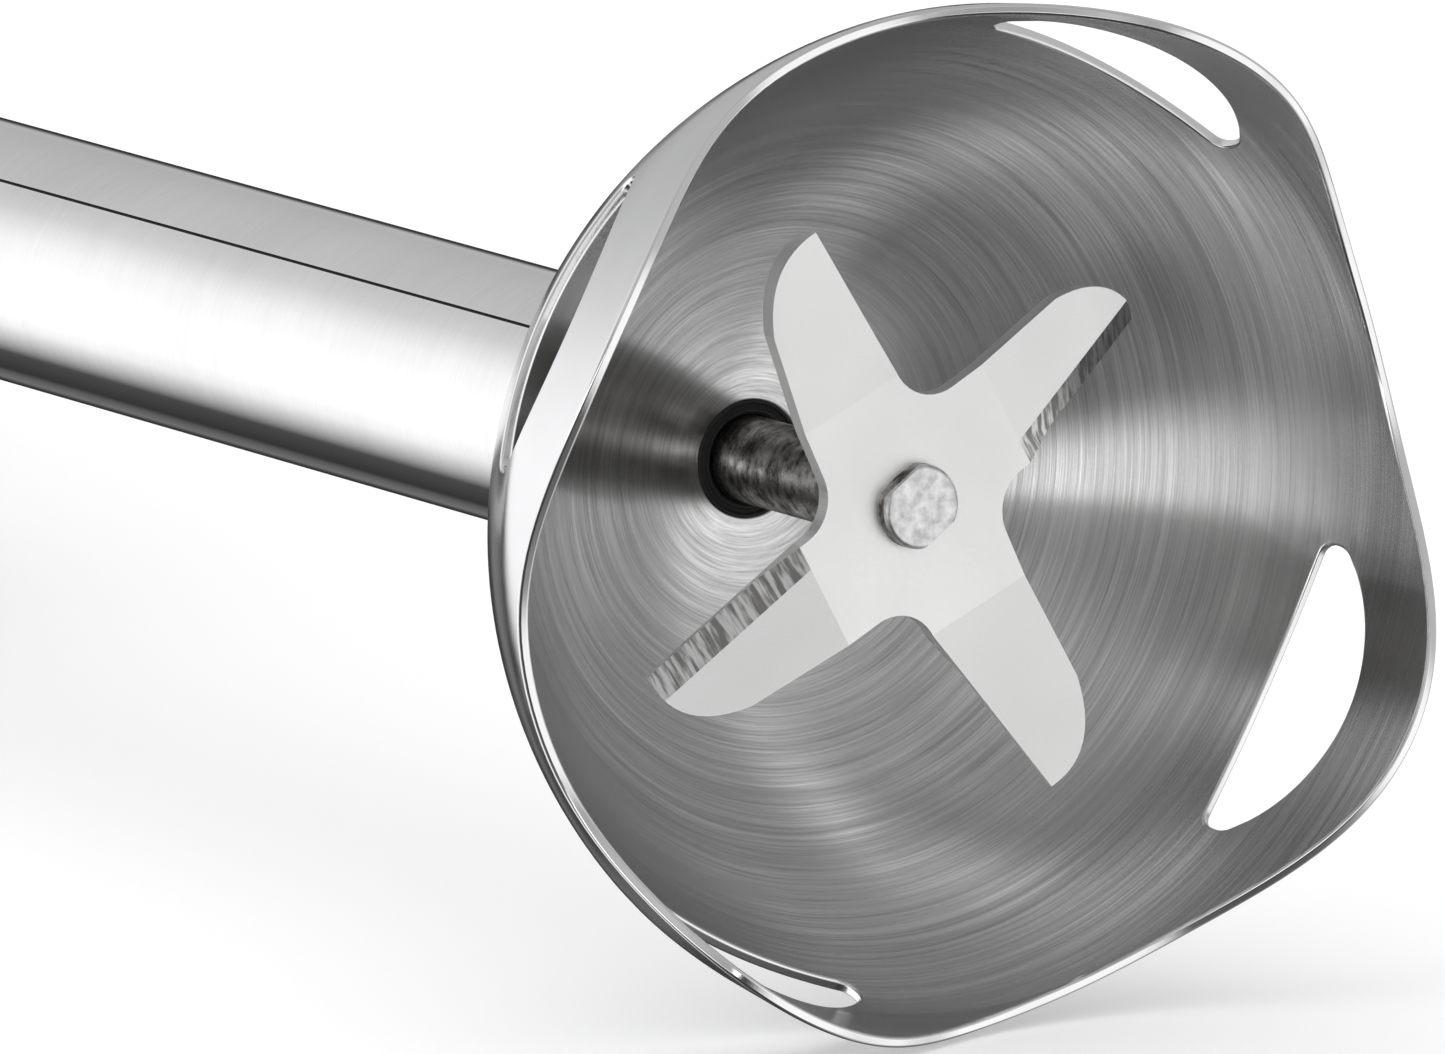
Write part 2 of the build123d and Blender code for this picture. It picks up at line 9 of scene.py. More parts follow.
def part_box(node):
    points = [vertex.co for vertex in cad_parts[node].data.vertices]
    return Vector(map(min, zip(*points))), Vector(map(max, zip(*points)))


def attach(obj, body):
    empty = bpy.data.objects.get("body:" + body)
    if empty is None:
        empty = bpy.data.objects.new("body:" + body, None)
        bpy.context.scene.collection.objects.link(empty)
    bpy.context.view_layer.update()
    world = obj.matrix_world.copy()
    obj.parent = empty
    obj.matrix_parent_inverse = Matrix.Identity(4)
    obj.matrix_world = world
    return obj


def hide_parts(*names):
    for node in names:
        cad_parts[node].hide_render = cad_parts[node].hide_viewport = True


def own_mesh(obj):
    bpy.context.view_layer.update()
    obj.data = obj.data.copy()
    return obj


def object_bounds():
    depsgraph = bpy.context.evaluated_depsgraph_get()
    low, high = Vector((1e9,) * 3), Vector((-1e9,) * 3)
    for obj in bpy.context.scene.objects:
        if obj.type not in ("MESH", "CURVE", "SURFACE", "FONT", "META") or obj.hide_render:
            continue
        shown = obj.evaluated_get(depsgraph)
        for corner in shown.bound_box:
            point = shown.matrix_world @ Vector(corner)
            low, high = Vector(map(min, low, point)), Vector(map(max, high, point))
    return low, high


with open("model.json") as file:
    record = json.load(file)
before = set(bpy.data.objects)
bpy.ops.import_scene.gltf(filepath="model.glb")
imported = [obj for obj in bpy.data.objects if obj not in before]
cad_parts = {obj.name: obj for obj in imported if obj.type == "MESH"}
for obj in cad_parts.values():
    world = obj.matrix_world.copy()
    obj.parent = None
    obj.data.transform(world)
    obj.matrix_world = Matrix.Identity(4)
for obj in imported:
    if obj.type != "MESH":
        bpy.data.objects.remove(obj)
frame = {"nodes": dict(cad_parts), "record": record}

# Lengths are millimetres in the object's own drawing: Z, here called s, runs up the shaft from the plane of
# the bell's lobe tips, and the buttons face -Y. to_row lays a drawn point down where the frame has it, in
# metres.
MM = 0.001
cad_low, cad_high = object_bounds()
bell_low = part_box("bell_guard")[0]
shaft_low, shaft_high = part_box("drive_shaft")
axis_z = (shaft_low.z + shaft_high.z) / 2
lay_down = Matrix.Rotation(-pi / 2, 4, "X") @ Matrix.Scale(MM, 4)
to_row = Matrix.Translation((0, bell_low.y, axis_z)) @ lay_down


def height_of(y):
    """A place along the frame's Y axis as a height up the shaft, in mm."""
    return (y - bell_low.y) / MM


# ---- driving sizes --------------------------------------------------------------------------------------
rim_radius = 36.0
bell_wall = 0.8
flare = radians(7.1)
skirt_height = 7.5
shoulder_radius = 15.4
shoulder_end = radians(18.3)
dome_radius = 37.3
apex_hole = 4.1
rim_mean = 4.27
rim_waves = (4.11, 0.26, -0.10)
lobe_count = 4
lobe_turn = radians(28.1)
window_half_width = 10.75
window_low, window_end_low = 6.75, 11.1
window_high, window_end_high = 14.2, 12.9
window_corner, corner_room = 1.3, 1.15

tube_radius = (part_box("leg_tube")[1].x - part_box("leg_tube")[0].x) / 2 / MM
tube_wall = 0.8
tube_bottom = 34.3
tube_top = height_of(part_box("leg_tube")[1].y)
seam_turn = radians(-130.6)
seam_width, seam_depth, seam_start = 0.25, 0.15, 38.0

seal_face, seal_radius = 34.8, 4.04
flange_low, flange_high, flange_radius = 36.6, 39.5, 6.0

shaft_radius = 3.0
shaft_end = height_of(shaft_low.y)
shaft_top = height_of(shaft_high.y)
flat_half, flat_turn, flat_ease = 2.42, radians(54.5), 0.08
clip_grooves, clip_half, clip_radius = (203.0, 210.0), 0.4, 2.6

knife_face, knife_thick = 13.3, 1.2
wing_reach, wing_lead, wing_trail = 22.3, 2.6, -5.5
wing_corner_start, wing_corner_middle = 16.8, (20.9, -3.6)
wing_bend_at, wing_bend = 8.9, radians(10.5)
wing_turns = ((64.7, 1), (151.2, -1), (244.7, 1), (331.2, -1))     # degrees, and 1 if bent to the opening
root_fillet = 3.2
wing_half_width = 8.0                 # room to either side that takes in one wing and no other
bevel_width, bevel_depth, bevel_run_out = 1.8, 0.85, 0.6

spring_wire, spring_turns = 0.6, 4


# ---- mesh helpers ---------------------------------------------------------------------------------------
def finish_mesh(name, bm, materials, body, node=None, sharp=32):
    """Turns a drawn bmesh into a piece that rides on a body."""
    bmesh.ops.remove_doubles(bm, verts=bm.verts, dist=1e-4)
    bmesh.ops.recalc_face_normals(bm, faces=bm.faces)
    bm.transform(to_row)
    mesh = bpy.data.meshes.new(name)
    bm.to_mesh(mesh)
    bm.free()
    for polygon in mesh.polygons:
        polygon.use_smooth = True
    mesh.set_sharp_from_angle(angle=radians(sharp))
    for material in materials:
        mesh.materials.append(material)
    piece = bpy.data.objects.new(name, mesh)
    bpy.context.scene.collection.objects.link(piece)
    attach(piece, body)
    if node:
        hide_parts(*node)
    return piece


def round_edges(piece, width, segments=3, angle=35):
    bevel = piece.modifiers.new("round_edges", "BEVEL")
    bevel.width = width * MM
    bevel.segments = segments
    bevel.limit_method = "ANGLE"
    bevel.angle_limit = radians(angle)
    bevel.harden_normals = True
    bevel.use_clamp_overlap = True
    return piece


def fillet_path(corners, steps=6, closed=False):
    """An outline through corners (x, y, radius), each corner rounded by an arc."""
    points = []
    count = len(corners)
    for i, (x, y, radius) in enumerate(corners):
        here = Vector((x, y))
        if radius <= 0 or (not closed and i in (0, count - 1)):
            points.append(here)
            continue
        before = Vector(corners[i - 1][:2]) - here
        after = Vector(corners[(i + 1) % count][:2]) - here
        half = before.angle(after) / 2
        back_off = radius / tan(half)
        first, last = before.normalized() * back_off, after.normalized() * back_off
        centre = (first + last).normalized() * (radius / sin(half))
        start, end = first - centre, last - centre
        sweep = start.angle(end)
        for k in range(steps + 1):
            a = sin(sweep * (1 - k / steps)) / sin(sweep)
            b = sin(sweep * k / steps) / sin(sweep)
            points.append(here + centre + start * a + end * b)
    return points


def lathe(bm, outline, segments=128, closed=True, radius_at=None):
    """Turns an outline of (radius, height) about the shaft. radius_at(r, s, angle) may reshape it."""
    rings = []
    for r, s in outline:
        ring = []
        for i in range(segments):
            angle = 2 * pi * i / segments
            radius = radius_at(r, s, angle) if radius_at else r
            ring.append(bm.verts.new((radius * cos(angle), radius * sin(angle), s)))
        rings.append(ring)
    pairs = list(zip(rings, rings[1:])) + ([(rings[-1], rings[0])] if closed else [])
    faces = []
    for low, high in pairs:
        for i in range(segments):
            j = (i + 1) % segments
            faces.append(bm.faces.new((low[i], low[j], high[j], high[i])))
    if not closed:
        faces.append(bm.faces.new(rings[0]))
        faces.append(bm.faces.new(list(reversed(rings[-1]))))
    return faces


# ---- materials ------------------------------------------------------------------------------------------
class Nodes:
    """Short ways to add nodes to one material or world."""

    def __init__(self, owner):
        owner.use_nodes = True
        self.tree = owner.node_tree
        self.tree.nodes.clear()

    def add(self, kind, inputs=None, **settings):
        node = self.tree.nodes.new(kind)
        for key, value in settings.items():
            setattr(node, key, value)
        for key, value in (inputs or {}).items():
            socket = node.inputs[key]
            if isinstance(value, bpy.types.NodeSocket):
                self.tree.links.new(value, socket)
            else:
                socket.default_value = value
        return node

    def math(self, operation, *values):
        node = self.add("ShaderNodeMath", operation=operation)
        for socket, value in zip(node.inputs, values):
            if isinstance(value, bpy.types.NodeSocket):
                self.tree.links.new(value, socket)
            else:
                socket.default_value = value
        return node.outputs[0]

    def span(self, value, low, high, to_low, to_high, smooth=False):
        kind = "SMOOTHSTEP" if smooth else "LINEAR"
        node = self.add("ShaderNodeMapRange", {"Value": value}, interpolation_type=kind)
        for key, number in zip(("From Min", "From Max", "To Min", "To Max"), (low, high, to_low, to_high)):
            node.inputs[key].default_value = number
        return node.outputs[0]

    def vector_math(self, operation, a, b):
        node = self.add("ShaderNodeVectorMath", {0: a, 1: b}, operation=operation)
        return node.outputs["Value" if operation == "DOT_PRODUCT" else "Vector"]

    def mix(self, factor, a, b, blend="MIX"):
        node = self.add("ShaderNodeMix", data_type="RGBA", blend_type=blend)
        for socket, value in ((node.inputs[0], factor), (node.inputs[6], a), (node.inputs[7], b)):
            if isinstance(value, bpy.types.NodeSocket):
                self.tree.links.new(value, socket)
            else:
                socket.default_value = value
        return node.outputs[2]

    def noise(self, vector, scale, detail=3.0, roughness=0.5):
        values = {"Vector": vector, "Scale": scale, "Detail": detail, "Roughness": roughness}
        return self.add("ShaderNodeTexNoise", values, noise_dimensions="3D").outputs["Fac"]


def grey(value, alpha=1.0):
    return (value, value, value, alpha)


def colour_times(colour, factor):
    return tuple(min(1.0, c * factor) for c in colour[:3]) + (1.0,)


def surface(nodes, colour, roughness, bump_height, bump_distance, metallic, coat=0.0, anisotropy=0.0,
            tangent=None, specular=0.5):
    """The shader at the end of every material. Height is a texture, bump_distance its depth in mm."""
    depth = bump_distance * MM
    bump = nodes.add("ShaderNodeBump", {"Height": bump_height, "Strength": 1.0, "Distance": depth})
    values = {"Base Color": colour, "Roughness": roughness, "Metallic": metallic, "Normal": bump.outputs[0],
              "Coat Weight": coat, "Coat Roughness": 0.12, "Specular IOR Level": specular,
              "Anisotropic": anisotropy}
    if tangent:
        values["Tangent"] = tangent
        values["Anisotropic Rotation"] = 0.25
    shader = nodes.add("ShaderNodeBsdfPrincipled", values)
    nodes.add("ShaderNodeOutputMaterial", {"Surface": shader.outputs[0]})


def edge_wear(nodes, width=0.35):
    """1 along edges, 0 elsewhere: where a rounded normal leaves the face's own. Width is in mm."""
    rounded = nodes.add("ShaderNodeBevel", {"Radius": width * MM}, samples=4).outputs[0]
    own = nodes.add("ShaderNodeNewGeometry").outputs["Normal"]
    return nodes.span(nodes.vector_math("DOT_PRODUCT", rounded, own), 0.80, 0.97, 1.0, 0.0)


def drawn_place(nodes):
    """Coordinates in mm about the shaft axis: x and z across it, y along it."""
    place = nodes.add("ShaderNodeTexCoord").outputs["Object"]
    moved = nodes.vector_math("ADD", place, (0, -bell_low.y, -axis_z))
    return nodes.add("ShaderNodeVectorMath", {0: moved, "Scale": 1 / MM}, operation="SCALE").outputs[0]


def from_axis(nodes, place):
    """The three parts of a place, and how far it is from the shaft's axis."""
    parts = nodes.add("ShaderNodeSeparateXYZ", {0: place}).outputs
    squares = [nodes.math("MULTIPLY", parts[k], parts[k]) for k in (0, 2)]
    return parts, nodes.math("SQRT", nodes.math("ADD", *squares))


def round_shaft(nodes, along_profile, wander):
    """Coordinates for marks that run round the shaft: fine along the profile, long round it."""
    place = drawn_place(nodes)
    parts, radius = from_axis(nodes, place)
    safe = nodes.math("MAXIMUM", radius, 0.2)
    profile = along_profile(nodes, radius, parts[1])
    across = [nodes.math("MULTIPLY", nodes.math("DIVIDE", parts[k], safe), wander) for k in (0, 2)]
    return nodes.add("ShaderNodeCombineXYZ", {0: across[0], 1: profile, 2: across[1]}).outputs[0], place


def brushed_steel(name, tone, roughness, anisotropy, along_profile, wander, scratch, depth, contrast):
    """Stainless steel with marks that run round the shaft."""
    material = bpy.data.materials.new(name)
    nodes = Nodes(material)
    turned, place = round_shaft(nodes, along_profile, wander)
    fine = nodes.noise(turned, scratch, 4.0, 0.65)
    medium = nodes.noise(turned, scratch * 0.22, 3.0, 0.6)
    broad = nodes.noise(place, 0.06, 2.0)
    marks = nodes.math("ADD", nodes.math("MULTIPLY", fine, 0.6), nodes.math("MULTIPLY", medium, 0.4))
    shade = nodes.span(marks, 0.36, 0.64, 1 - contrast, 1 + contrast * 0.6)
    shade = nodes.math("MULTIPLY", shade, nodes.span(broad, 0.3, 0.7, 0.96, 1.03))
    worn = nodes.math("ADD", shade, nodes.math("MULTIPLY", edge_wear(nodes), 0.12))
    worn_grey = nodes.add("ShaderNodeCombineColor", {0: worn, 1: worn, 2: worn}).outputs[0]
    colour = nodes.mix(1.0, tone, worn_grey, "MULTIPLY")
    rough = nodes.span(marks, 0.35, 0.65, roughness * 1.2, roughness * 0.82)
    tangent = nodes.add("ShaderNodeTangent", direction_type="RADIAL", axis="Y").outputs[0]
    surface(nodes, colour, rough, marks, depth, 1.0, anisotropy=anisotropy, tangent=tangent)
    return material


def polished_steel(name, tone, roughness):
    """Stainless steel with a slight haze and a few hairlines."""
    material = bpy.data.materials.new(name)
    nodes = Nodes(material)
    place = drawn_place(nodes)
    haze = nodes.noise(place, 0.12, 3.0)
    hairs = nodes.noise(nodes.vector_math("MULTIPLY", place, (0.3, 4.0, 0.3)), 2.5, 4.0, 0.7)
    colour = nodes.mix(nodes.span(haze, 0.3, 0.7, 0.0, 1.0), colour_times(tone, 0.93), tone)
    colour = nodes.mix(edge_wear(nodes), colour, colour_times(tone, 1.12))
    rough = nodes.math("ADD", nodes.span(haze, 0.3, 0.7, roughness * 0.6, roughness * 1.5),
                       nodes.span(hairs, 0.55, 0.75, 0.0, 0.05))
    surface(nodes, colour, rough, hairs, 0.002, 1.0)
    return material


def plain_finish(name, colour, metallic, roughness, grain, depth, variation=0.06, wear=0.15, coat=0.0,
                 specular=0.5, stretch=(1, 1, 1), edge_tone=1.6):
    """A finish with grain, slow changes of colour and worn edges.

    Grain is in marks per mm. Edges turn to edge_tone times the colour: above 1 rubbed, below 1 a dark joint.
    """
    material = bpy.data.materials.new(name)
    nodes = Nodes(material)
    place = drawn_place(nodes)
    fine = nodes.noise(nodes.vector_math("MULTIPLY", place, stretch), grain, 3.0, 0.6)
    slow = nodes.noise(place, 0.09, 3.0)
    both = nodes.math("ADD", nodes.math("MULTIPLY", fine, 0.5), nodes.math("MULTIPLY", slow, 0.5))
    shade = nodes.span(both, 0.35, 0.65, 0.0, 1.0)
    base = nodes.mix(shade, colour_times(colour, 1 - variation), colour_times(colour, 1 + variation))
    base = nodes.mix(nodes.math("MULTIPLY", edge_wear(nodes), wear), base, colour_times(colour, edge_tone))
    rough = nodes.span(both, 0.35, 0.65, roughness * 0.85, min(1.0, roughness * 1.15))
    surface(nodes, base, rough, fine, depth, metallic, coat=coat, specular=specular)
    return material


def bell_profile_line(nodes, radius, along):
    """Grows evenly from the rim to the apex of the bell."""
    return nodes.math("SUBTRACT", nodes.math("MULTIPLY", along, 0.72), nodes.math("MULTIPLY", radius, 0.72))


def tube_profile_line(nodes, radius, along):
    return nodes.math("ADD", along, radius)


def shaft_steel():
    """Turned steel, darkened and mottled by use."""
    material = bpy.data.materials.new("shaft_steel")
    nodes = Nodes(material)
    turned, place = round_shaft(nodes, tube_profile_line, 1.2)
    turning = nodes.noise(turned, 2.2, 3.0, 0.7)
    stain = nodes.noise(place, 0.55, 5.0, 0.65)
    marks = nodes.math("ADD", nodes.math("MULTIPLY", turning, 0.35), nodes.math("MULTIPLY", stain, 0.65))
    mottle = nodes.span(marks, 0.38, 0.62, 0.0, 1.0, smooth=True)
    colour = nodes.mix(mottle, (0.060, 0.052, 0.047, 1), (0.50, 0.49, 0.48, 1))
    colour = nodes.mix(edge_wear(nodes), colour, (0.8, 0.8, 0.8, 1))
    rough = nodes.span(mottle, 0, 1, 0.42, 0.24)
    surface(nodes, colour, rough, turning, 0.008, 1.0)
    return material


def end_steel():
    """The shaft's end, faced on a lathe: faint rings about its middle."""
    material = bpy.data.materials.new("shaft_end_steel")
    nodes = Nodes(material)
    place = drawn_place(nodes)
    parts, radius = from_axis(nodes, place)
    rings = nodes.math("SINE", nodes.math("MULTIPLY", radius, 7.0))
    blotch = nodes.noise(place, 1.3, 4.0)
    height = nodes.math("ADD", nodes.math("MULTIPLY", rings, 0.015), blotch)
    colour = nodes.mix(nodes.span(height, 0.36, 0.66, 0.0, 1.0), grey(0.46), grey(0.84))
    surface(nodes, colour, nodes.span(blotch, 0.3, 0.7, 0.3, 0.45), height, 0.012, 1.0)
    return material


def knife_steel():
    """Blasted stainless steel, almost white."""
    return plain_finish("knife_steel", (0.90, 0.90, 0.895, 1), 1.0, 0.52, 6.0, 0.004, 0.03, 0.5)


def ground_steel():
    """A cutting edge with cross-grinding marks, which the UV map's first axis runs along."""
    material = bpy.data.materials.new("ground_steel")
    nodes = Nodes(material)
    along = nodes.add("ShaderNodeUVMap", uv_map="along").outputs[0]
    stripes = nodes.noise(nodes.vector_math("MULTIPLY", along, (1.0, 0.12, 0.0)), 2.1, 3.0, 0.6)
    band = nodes.span(stripes, 0.42, 0.60, 0.0, 1.0, smooth=True)
    colour = nodes.mix(band, (0.24, 0.235, 0.23, 1), (0.72, 0.72, 0.72, 1))
    surface(nodes, colour, nodes.span(band, 0, 1, 0.42, 0.32), stripes, 0.03, 1.0)
    return material


def rubber(name, colour):
    return plain_finish(name, colour, 0.0, 0.62, 5.0, 0.02, 0.12, 0.25, specular=0.35)


def laminated_steel():
    """Thin sheets stacked along the shaft."""
    return plain_finish("core_steel", (0.38, 0.38, 0.39, 1), 1.0, 0.42, 1.0, 0.05, 0.2, 0.2,
                        stretch=(0.02, 3.0, 0.02))


brushed_inside = brushed_steel("brushed_bell", grey(0.68), roughness=0.20, anisotropy=0.9,
                               along_profile=bell_profile_line, wander=0.30, scratch=7.0, depth=0.006,
                               contrast=0.34)
brushed_tube = brushed_steel("brushed_tube", grey(0.80), roughness=0.05, anisotropy=0.6,
                             along_profile=tube_profile_line, wander=0.9, scratch=3.5, depth=0.001,
                             contrast=0.04)
polished_outside = polished_steel("polished_bell", (0.74, 0.74, 0.75, 1), 0.15)
polished_rim = polished_steel("polished_rim", grey(0.84), 0.07)
# near black for the faces of the tube's seam groove: painted shade in the groove
seam_painted_shade = plain_finish("seam_painted_shade", grey(0.03), 0.6, 0.6, 4.0, 0.01)

finishes = {
    "bell_steel": brushed_inside,
    "tube_steel": brushed_tube,
    "knife_steel": knife_steel(),
    "shaft_steel": shaft_steel(),
    "seal_rubber": rubber("seal_rubber", (0.022, 0.022, 0.022, 1)),
    "bronze": plain_finish("bronze", (0.50, 0.33, 0.16, 1), 1.0, 0.36, 2.0, 0.01, 0.1, 0.3),
    "inner_plastic": plain_finish("inner_plastic", (0.70, 0.70, 0.68, 1), 0.0, 0.5, 3.0, 0.01, 0.04),
    "bearing_steel": polished_steel("bearing_steel", (0.62, 0.62, 0.63, 1), 0.16),
    "collar_plastic": plain_finish("collar_plastic", (0.028, 0.028, 0.030, 1), 0.0, 0.36, 2.6, 0.010, 0.10,
                                   0.35),
    "trim_steel": polished_steel("trim_steel", (0.82, 0.82, 0.83, 1), 0.10),
    "spring_steel": polished_steel("spring_steel", (0.55, 0.56, 0.58, 1), 0.22),
    "housing_plastic": plain_finish("housing_plastic", (0.60, 0.60, 0.595, 1), 0.0, 0.50, 2.8, 0.012, 0.03,
                                    0.85, specular=0.35, edge_tone=0.25),
    "panel_plastic": plain_finish("panel_plastic", (0.016, 0.016, 0.018, 1), 0.0, 0.14, 1.2, 0.002, 0.15,
                                  0.4, coat=0.6),
    "grip_rubber": rubber("grip_rubber", (0.045, 0.046, 0.048, 1)),
    "button_plastic": plain_finish("button_plastic", (0.34, 0.345, 0.35, 1), 0.0, 0.34, 3.0, 0.010, 0.05,
                                   0.4),
    "dial_plastic": plain_finish("dial_plastic", (0.030, 0.030, 0.032, 1), 0.0, 0.38, 3.0, 0.010, 0.10,
                                 0.5),
    "gland_rubber": rubber("gland_rubber", (0.030, 0.030, 0.030, 1)),
    "board_green": plain_finish("board_green", (0.02, 0.16, 0.06, 1), 0.0, 0.35, 1.5, 0.01, 0.15),
    "component_black": plain_finish("component_black", (0.03, 0.03, 0.03, 1), 0.0, 0.45, 3.0, 0.01, 0.1),
    "core_steel": laminated_steel(),
    "copper": plain_finish("copper", (0.72, 0.33, 0.16, 1), 1.0, 0.30, 1.5, 0.04, 0.2,
                           stretch=(0.1, 2.0, 0.1)),
    "mount_rubber": rubber("mount_rubber", (0.04, 0.04, 0.04, 1)),
    "holder_brass": plain_finish("holder_brass", (0.78, 0.58, 0.26, 1), 1.0, 0.28, 2.0, 0.01, 0.1),
    "carbon": plain_finish("carbon", (0.035, 0.035, 0.037, 1), 0.2, 0.55, 4.0, 0.01, 0.1),
}
for part in frame["record"]["subparts"]:
    finish = finishes[part["material_slot"]]
    data = frame["nodes"][part["node"]].data
    data.materials.clear()
    data.materials.append(finish)


# ---- bell -----------------------------------------------------------------------------------------------
skirt_top = (rim_radius - skirt_height * tan(flare), skirt_height)
shoulder_centre = (skirt_top[0] - shoulder_radius * cos(flare), skirt_top[1] - shoulder_radius * sin(flare))
inwards = shoulder_radius - dome_radius
dome_centre = (shoulder_centre[0] + inwards * cos(shoulder_end),
               shoulder_centre[1] + inwards * sin(shoulder_end))
skirt_length = skirt_height / cos(flare)
shoulder_length = shoulder_radius * (shoulder_end - flare)
apex_angle = acos((apex_hole - dome_centre[0]) / dome_radius)
bell_length = skirt_length + shoulder_length + dome_radius * (apex_angle - shoulder_end)


def bell_point(travel, depth):
    """(radius, height) at a distance along the outer line from the tips' plane, moved inwards by depth."""
    if travel <= skirt_length:
        place = (rim_radius - travel * sin(flare), travel * cos(flare))
        return place[0] - depth * cos(flare), place[1] - depth * sin(flare)
    if travel <= skirt_length + shoulder_length:
        centre, radius = shoulder_centre, shoulder_radius
        angle = flare + (travel - skirt_length) / radius
    else:
        centre, radius = dome_centre, dome_radius
        angle = shoulder_end + (travel - skirt_length - shoulder_length) / radius
    return centre[0] + (radius - depth) * cos(angle), centre[1] + (radius - depth) * sin(angle)


def bell_travel(height):
    """The distance along the outer line at which it reaches a height."""
    if height <= skirt_height:
        return height / cos(flare)
    if height <= shoulder_centre[1] + shoulder_radius * sin(shoulder_end):
        angle = asin((height - shoulder_centre[1]) / shoulder_radius)
        return skirt_length + shoulder_radius * (angle - flare)
    angle = asin((height - dome_centre[1]) / dome_radius)
    return skirt_length + shoulder_length + dome_radius * (angle - shoulder_end)


def rim_height(angle):
    return rim_mean - sum(a * cos(lobe_count * (k + 1) * angle) for k, a in enumerate(rim_waves))


def window_outline():
    """Half of a window in three runs of points: its low edge from the middle, its end, its high edge."""
    def arc(middle, end, x):
        rise = end - middle
        radius = (window_half_width ** 2 + rise ** 2) / (2 * abs(rise))
        drop = radius - sqrt(radius ** 2 - x ** 2)
        return middle + drop * (1 if rise > 0 else -1)

    across = [(window_half_width - corner_room) * i / 24 for i in range(25)]
    low = [(x, arc(window_low, window_end_low, x)) for x in across]
    high = [(x, arc(window_high, window_end_high, x)) for x in across]
    corners = [(*low[-1], 0), (window_half_width, window_end_low, window_corner),
               (window_half_width, window_end_high, window_corner), (*high[-1], 0)]
    end = [tuple(p) for p in fillet_path(corners, 8)]
    return low, end, high


def bell_grid():
    """Places (angle from the lobe, travel) by column and row over half a lobe, and the rows' marks."""
    low, end, high = window_outline()
    beyond, below, above = 14, 8, 40     # columns past the window's end, rows under it and over it
    valley_low, valley_band = 10.0, 4.0
    band = len(end) - 1
    quarter = pi / lobe_count
    columns = []

    def turn(x, height):
        return asin(x / bell_point(bell_travel(height), 0)[0])

    def on_bell(point):
        return turn(*point), bell_travel(point[1])

    last = [on_bell(p) for p in end]
    far = [(quarter, bell_travel(valley_low + valley_band * k / band)) for k in range(band + 1)]
    for i in range(len(low) + beyond):
        if i < len(low) - 1:
            middle = [on_bell(low[i])] + [None] * (band - 1) + [on_bell(high[i])]
        elif i == len(low) - 1:
            middle = last
        else:
            share = (i - len(low) + 1) / beyond
            middle = [tuple(a[k] + (b[k] - a[k]) * share for k in (0, 1)) for a, b in zip(last, far)]
        foot = middle[0][0]
        rim = bell_travel(rim_height(foot))
        column = [(foot, rim + (middle[0][1] - rim) * k / below) for k in range(below)] + middle
        even = quarter * i / (len(low) + beyond - 1)
        for k in range(1, above + 1):
            share = k / above
            settle = min(1.0, share * 2.5)
            settle = settle * settle * (3 - 2 * settle)
            column.append((middle[-1][0] * (1 - settle) + even * settle,
                           middle[-1][1] + (bell_length - middle[-1][1]) * share))
        columns.append(column)
    return columns, below, band, len(low) - 1


def make_bell():
    bm = bmesh.new()
    columns, below, band, last_inside = bell_grid()
    rows = len(columns[0])
    for lobe in range(lobe_count):
        for side in (1, -1):
            skins = []
            for depth in (0.0, bell_wall):
                skin = []
                for column in columns:
                    verts = []
                    for place in column:
                        if place is None:
                            verts.append(None)
                            continue
                        angle = lobe_turn + 2 * pi * lobe / lobe_count + side * place[0]
                        r, s = bell_point(place[1], depth)
                        verts.append(bm.verts.new((r * cos(angle), r * sin(angle), s)))
                    skin.append(verts)
                skins.append(skin)
            for i in range(len(columns) - 1):
                for j in range(rows - 1):
                    if i < last_inside and below <= j < below + band:
                        continue
                    for skin, slot in zip(skins, (1, 0)):
                        quad = (skin[i][j], skin[i + 1][j], skin[i + 1][j + 1], skin[i][j + 1])
                        bm.faces.new(quad).material_index = slot
            walls = [((i, 0), (i + 1, 0)) for i in range(len(columns) - 1)]
            walls += [((i, rows - 1), (i + 1, rows - 1)) for i in range(len(columns) - 1)]
            walls += [((i, below), (i + 1, below)) for i in range(last_inside)]
            walls += [((i, below + band), (i + 1, below + band)) for i in range(last_inside)]
            walls += [((last_inside, j), (last_inside, j + 1)) for j in range(below, below + band)]
            for (a, b), (c, d) in walls:
                quad = (skins[0][a][b], skins[0][c][d], skins[1][c][d], skins[1][a][b])
                bm.faces.new(quad).material_index = 2
    piece = finish_mesh("bell", bm, (brushed_inside, polished_outside, polished_rim), "leg",
                        ["bell_guard"], sharp=50)
    return round_edges(piece, 0.30, 4, 50)


